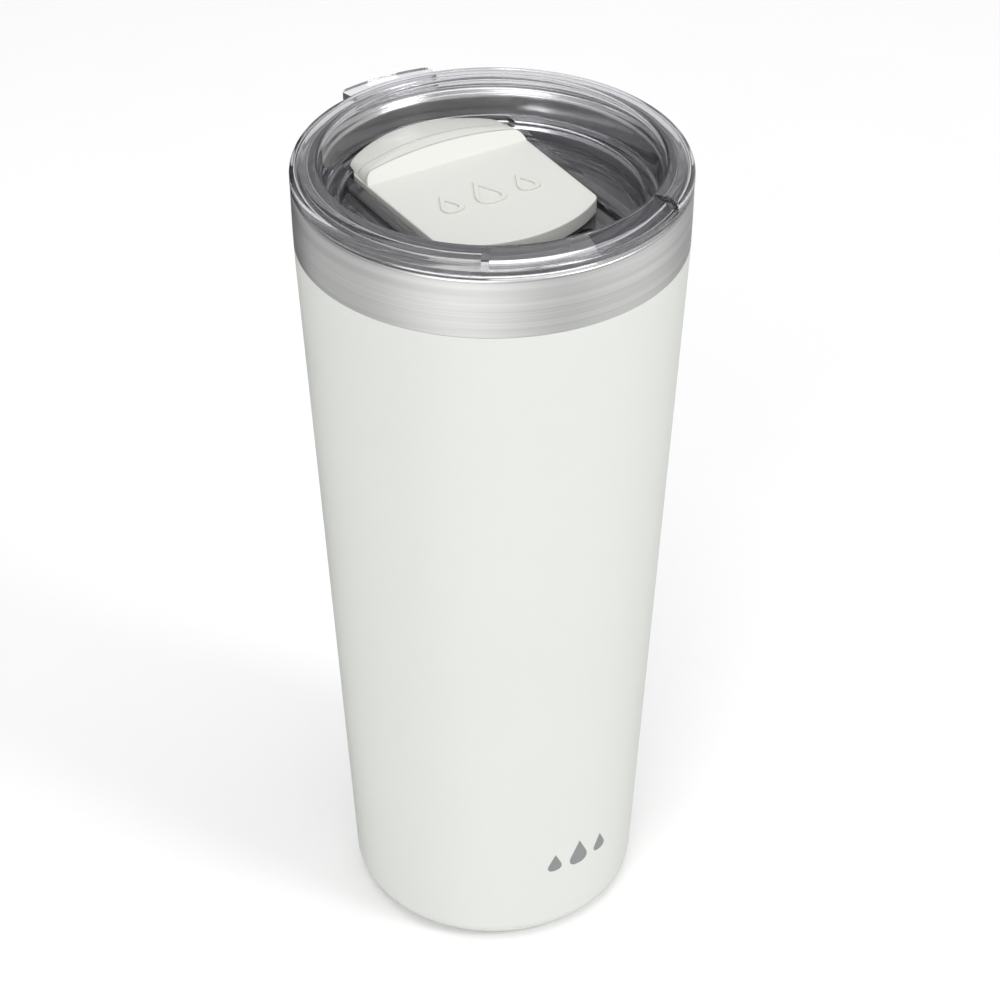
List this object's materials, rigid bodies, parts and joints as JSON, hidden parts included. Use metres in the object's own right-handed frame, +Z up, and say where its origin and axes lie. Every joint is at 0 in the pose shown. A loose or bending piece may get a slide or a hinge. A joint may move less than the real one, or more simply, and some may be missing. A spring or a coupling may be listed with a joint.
{
  "type": "insulated tumbler with lid",
  "caption": "Tapered double-wall vacuum tumbler in steel with a powder-coated body, a clear press-in lid with a thumb tab, and a slider that opens and shuts the drinking slot.",
  "frame": {"origin": "on the cup's axis, in the plane that the foot stands on", "axes": "+Z up along the cup's axis; +Y towards the lid's thumb tab, -Y towards the drinking side, the way the slider closes; +X to the right as seen from -Y"},
  "size_m": [0.096, 0.101, 0.221],
  "materials": {
    "coat": "fine powder coat, cream white, satin",
    "steel": "bare stainless steel, brushed round the axis",
    "seal_glass": "fused sealing glass bead",
    "getter": "sintered grey getter pellet",
    "smoke_plastic": "clear copolyester with a smoke-grey tint, polished",
    "white_plastic": "smooth moulded plastic, cream white, satin",
    "silicone": "soft food-grade silicone, matt grey"
  },
  "bodies": {
    "cup": {"powder_coat": "coat", "outer_shell": "steel", "inner_liner": "steel", "outer_bottom": "steel", "vacuum_seal": "seal_glass", "base_disc": "steel", "getter_cup": "steel", "getter_pellet": "getter"},
    "lid": {"lid_body": "smoke_plastic", "lid_gasket": "silicone"},
    "slider": {"slider_cover": "white_plastic", "slider_carriage": "white_plastic", "sip_seal": "silicone", "slider_retainer": "white_plastic"}
  },
  "joints": [
    {"name": "lid_lift", "type": "slide", "parent": "cup", "child": "lid", "axis": [0, 0, 1], "range_m": [0, 0.04]},
    {"name": "slider_travel", "type": "slide", "parent": "lid", "child": "slider", "axis": [0, -1, 0], "range_m": [0, 0.016]}
  ]
}
